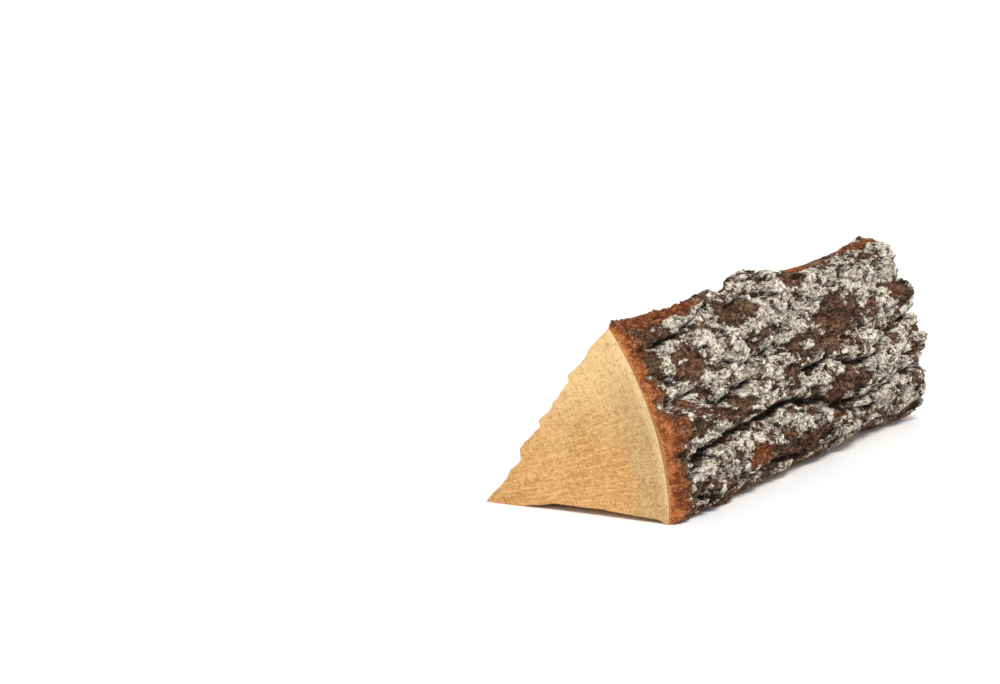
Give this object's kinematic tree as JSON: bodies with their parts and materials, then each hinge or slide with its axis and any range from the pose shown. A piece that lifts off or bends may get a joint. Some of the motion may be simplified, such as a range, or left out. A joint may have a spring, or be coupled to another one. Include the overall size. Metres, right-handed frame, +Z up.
{
  "type": "split log",
  "caption": "Split firewood log: a wedge of pale wood with rippled split faces, sawn ends and thick, furrowed, lichen-crusted bark on its round side.",
  "frame": {"origin": "middle of the log's footprint, on the surface it lies on", "axes": "+Y along the log from the front cut end to the rear one, +X towards the bark side, +Z up"},
  "size_m": [0.1324, 0.33, 0.1179],
  "materials": {
    "wood": "raw, split and sawn",
    "bark": "rough bark with pale lichen"
  },
  "bodies": {
    "root": {"wood": "wood", "bark": "bark"}
  },
  "joints": []
}
